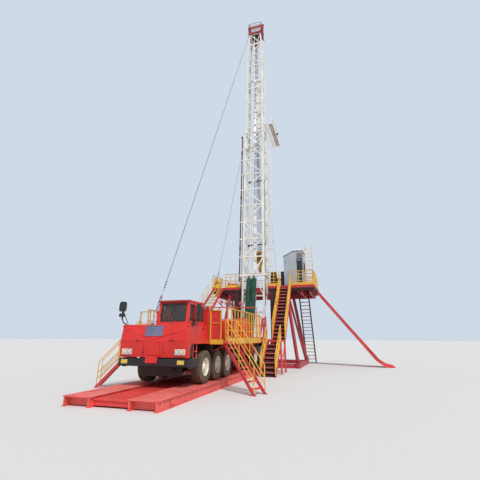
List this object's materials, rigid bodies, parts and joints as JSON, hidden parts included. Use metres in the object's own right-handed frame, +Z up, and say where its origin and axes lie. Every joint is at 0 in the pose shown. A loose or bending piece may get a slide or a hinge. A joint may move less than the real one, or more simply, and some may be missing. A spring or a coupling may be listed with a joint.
{
  "type": "truck-mounted workover rig",
  "caption": "Truck-mounted workover rig set up over a well: multi-axle carrier on its base mat, telescoping lattice mast, raised drill floor with stairs, rails, cabin and pipe ramp.",
  "frame": {"origin": "the well centre on the ground, on the rotary table's axis", "axes": "+X to the truck's left, +Y to the truck's rear, +Z up along the well"},
  "size_m": [13.7694, 23.85, 36.5453],
  "materials": {
    "mat_red": "worn",
    "chassis_black": "satin",
    "bumper_black": "satin",
    "truck_red": "gloss",
    "seat_black": "matte",
    "glass": "gloss",
    "lamp_lens": "gloss",
    "machine_grey": "satin",
    "guard_red": "satin",
    "rail_yellow": "satin",
    "stair_red": "satin",
    "floor_red": "satin",
    "dark_red": "satin",
    "doghouse_blue": "satin",
    "wire_rope": "satin",
    "mast_white": "satin",
    "ram_chrome": "gloss",
    "crown_red": "satin",
    "block_yellow": "satin",
    "sleeve_green": "matte",
    "tyre": "matte"
  },
  "bodies": {
    "carrier": {"base_mat": "mat_red", "chassis": "chassis_black", "bumper": "bumper_black", "nose": "truck_red", "cab": "truck_red", "cab_seat": "seat_black", "glazing": "glass", "mirrors": "bumper_black", "lamps": "lamp_lens", "axles": "chassis_black", "deck": "truck_red", "power_pack": "truck_red", "engine_block": "machine_grey", "drawworks": "guard_red", "deck_rails": "rail_yellow", "access_stairs": "stair_red", "mast_base": "stair_red", "substructure": "floor_red", "drill_floor": "floor_red", "floor_rails": "rail_yellow", "floor_stair": "stair_red", "deck_stair": "stair_red", "rear_stair": "dark_red", "pipe_ramp": "floor_red", "rotary_table": "machine_grey", "doghouse": "doghouse_blue", "stays": "wire_rope"},
    "cab_door": {"cab_door": "truck_red", "door_glass": "glass"},
    "doghouse_door": {"doghouse_door": "doghouse_blue"},
    "mast": {"mast_lower": "mast_white", "standpipe": "dark_red", "lift_barrel": "mast_white", "lift_ram": "ram_chrome", "drill_lines": "wire_rope"},
    "upper_mast": {"mast_upper": "mast_white", "crown": "crown_red"},
    "racking_board": {"racking_board": "mast_white"},
    "travelling_block": {"travelling_block": "block_yellow"},
    "raising_cylinders": {"raise_barrels": "sleeve_green", "raise_rams": "sleeve_green"},
    "knuckle_1l": {"knuckle_1l": "chassis_black"},
    "knuckle_1r": {"knuckle_1r": "chassis_black"},
    "knuckle_2l": {"knuckle_2l": "chassis_black"},
    "knuckle_2r": {"knuckle_2r": "chassis_black"},
    "knuckle_3l": {"knuckle_3l": "chassis_black"},
    "knuckle_3r": {"knuckle_3r": "chassis_black"},
    "wheel_1l": {"wheel_1l": "tyre"},
    "wheel_1r": {"wheel_1r": "tyre"},
    "wheel_2l": {"wheel_2l": "tyre"},
    "wheel_2r": {"wheel_2r": "tyre"},
    "wheel_3l": {"wheel_3l": "tyre"},
    "wheel_3r": {"wheel_3r": "tyre"},
    "wheel_4l": {"wheel_4l": "tyre"},
    "wheel_4r": {"wheel_4r": "tyre"},
    "wheel_5l": {"wheel_5l": "tyre"},
    "wheel_5r": {"wheel_5r": "tyre"},
    "wheel_6l": {"wheel_6l": "tyre"},
    "wheel_6r": {"wheel_6r": "tyre"}
  },
  "joints": [
    {"name": "steer_1l", "type": "hinge", "parent": "carrier", "child": "knuckle_1l", "pos_m": [0.87, -14.8, 0.92], "axis": [0, 0, 1], "range_deg": [-25, 25]},
    {"name": "steer_1r", "type": "hinge", "parent": "carrier", "child": "knuckle_1r", "pos_m": [-0.87, -14.8, 0.92], "axis": [0, 0, 1], "range_deg": [-25, 25]},
    {"name": "steer_2l", "type": "hinge", "parent": "carrier", "child": "knuckle_2l", "pos_m": [0.87, -13.45, 0.92], "axis": [0, 0, 1], "range_deg": [-21, 21]},
    {"name": "steer_2r", "type": "hinge", "parent": "carrier", "child": "knuckle_2r", "pos_m": [-0.87, -13.45, 0.92], "axis": [0, 0, 1], "range_deg": [-21, 21]},
    {"name": "steer_3l", "type": "hinge", "parent": "carrier", "child": "knuckle_3l", "pos_m": [0.87, -12.15, 0.92], "axis": [0, 0, 1], "range_deg": [-17, 17]},
    {"name": "steer_3r", "type": "hinge", "parent": "carrier", "child": "knuckle_3r", "pos_m": [-0.87, -12.15, 0.92], "axis": [0, 0, 1], "range_deg": [-17, 17]},
    {"name": "roll_1l", "type": "hinge", "parent": "knuckle_1l", "child": "wheel_1l", "pos_m": [1.2, -14.8, 0.92], "axis": [1, 0, 0], "continuous": true},
    {"name": "roll_1r", "type": "hinge", "parent": "knuckle_1r", "child": "wheel_1r", "pos_m": [-1.2, -14.8, 0.92], "axis": [1, 0, 0], "continuous": true},
    {"name": "roll_2l", "type": "hinge", "parent": "knuckle_2l", "child": "wheel_2l", "pos_m": [1.2, -13.45, 0.92], "axis": [1, 0, 0], "continuous": true},
    {"name": "roll_2r", "type": "hinge", "parent": "knuckle_2r", "child": "wheel_2r", "pos_m": [-1.2, -13.45, 0.92], "axis": [1, 0, 0], "continuous": true},
    {"name": "roll_3l", "type": "hinge", "parent": "knuckle_3l", "child": "wheel_3l", "pos_m": [1.2, -12.15, 0.92], "axis": [1, 0, 0], "continuous": true},
    {"name": "roll_3r", "type": "hinge", "parent": "knuckle_3r", "child": "wheel_3r", "pos_m": [-1.2, -12.15, 0.92], "axis": [1, 0, 0], "continuous": true},
    {"name": "roll_4l", "type": "hinge", "parent": "carrier", "child": "wheel_4l", "pos_m": [1.2, -7, 0.92], "axis": [1, 0, 0], "continuous": true},
    {"name": "roll_4r", "type": "hinge", "parent": "carrier", "child": "wheel_4r", "pos_m": [-1.2, -7, 0.92], "axis": [1, 0, 0], "continuous": true},
    {"name": "roll_5l", "type": "hinge", "parent": "carrier", "child": "wheel_5l", "pos_m": [1.2, -5.65, 0.92], "axis": [1, 0, 0], "continuous": true},
    {"name": "roll_5r", "type": "hinge", "parent": "carrier", "child": "wheel_5r", "pos_m": [-1.2, -5.65, 0.92], "axis": [1, 0, 0], "continuous": true},
    {"name": "roll_6l", "type": "hinge", "parent": "carrier", "child": "wheel_6l", "pos_m": [1.2, -4.3, 0.92], "axis": [1, 0, 0], "continuous": true},
    {"name": "roll_6r", "type": "hinge", "parent": "carrier", "child": "wheel_6r", "pos_m": [-1.2, -4.3, 0.92], "axis": [1, 0, 0], "continuous": true},
    {"name": "mast_tilt", "type": "hinge", "parent": "carrier", "child": "mast", "pos_m": [0, -2.48, 3.45], "axis": [1, 0, 0], "range_deg": [0, 93.5], "deforming": ["stays", "raise_rams"]},
    {"name": "mast_extend", "type": "slide", "parent": "mast", "child": "upper_mast", "axis": [0, -0.061, -0.9981], "range_m": [0, 13.8], "deforming": ["lift_ram", "drill_lines"]},
    {"name": "racking_board_fold", "type": "hinge", "parent": "mast", "child": "racking_board", "pos_m": [1.005, -0.7609, 21.7291], "axis": [0, 0.9981, -0.061], "range_deg": [0, 80]},
    {"name": "block_travel", "type": "slide", "parent": "mast", "child": "travelling_block", "axis": [0, 0, -1], "range_m": [-20, 1], "deforming": ["drill_lines"]},
    {"name": "cylinder_swing", "type": "hinge", "parent": "carrier", "child": "raising_cylinders", "pos_m": [0, -3.6, 2.1], "axis": [1, 0, 0], "range_deg": [0, 77.4]},
    {"name": "cab_door_swing", "type": "hinge", "parent": "carrier", "child": "cab_door", "pos_m": [1.359, -15.94, 2.8], "axis": [0, 0, -1], "range_deg": [0, 75]},
    {"name": "doghouse_door_swing", "type": "hinge", "parent": "carrier", "child": "doghouse_door", "pos_m": [3.914, 0.1103, 7], "axis": [0, 0, -1], "range_deg": [0, 100]}
  ],
  "couplings": [
    {"joint": "steer_1r", "follows": "steer_1l", "ratio": 1},
    {"joint": "steer_2l", "follows": "steer_1l", "ratio": 0.84},
    {"joint": "steer_2r", "follows": "steer_1l", "ratio": 0.84},
    {"joint": "steer_3l", "follows": "steer_1l", "ratio": 0.68},
    {"joint": "steer_3r", "follows": "steer_1l", "ratio": 0.68},
    {"joint": "cylinder_swing", "follows": "mast_tilt", "ratio": 0.827}
  ]
}
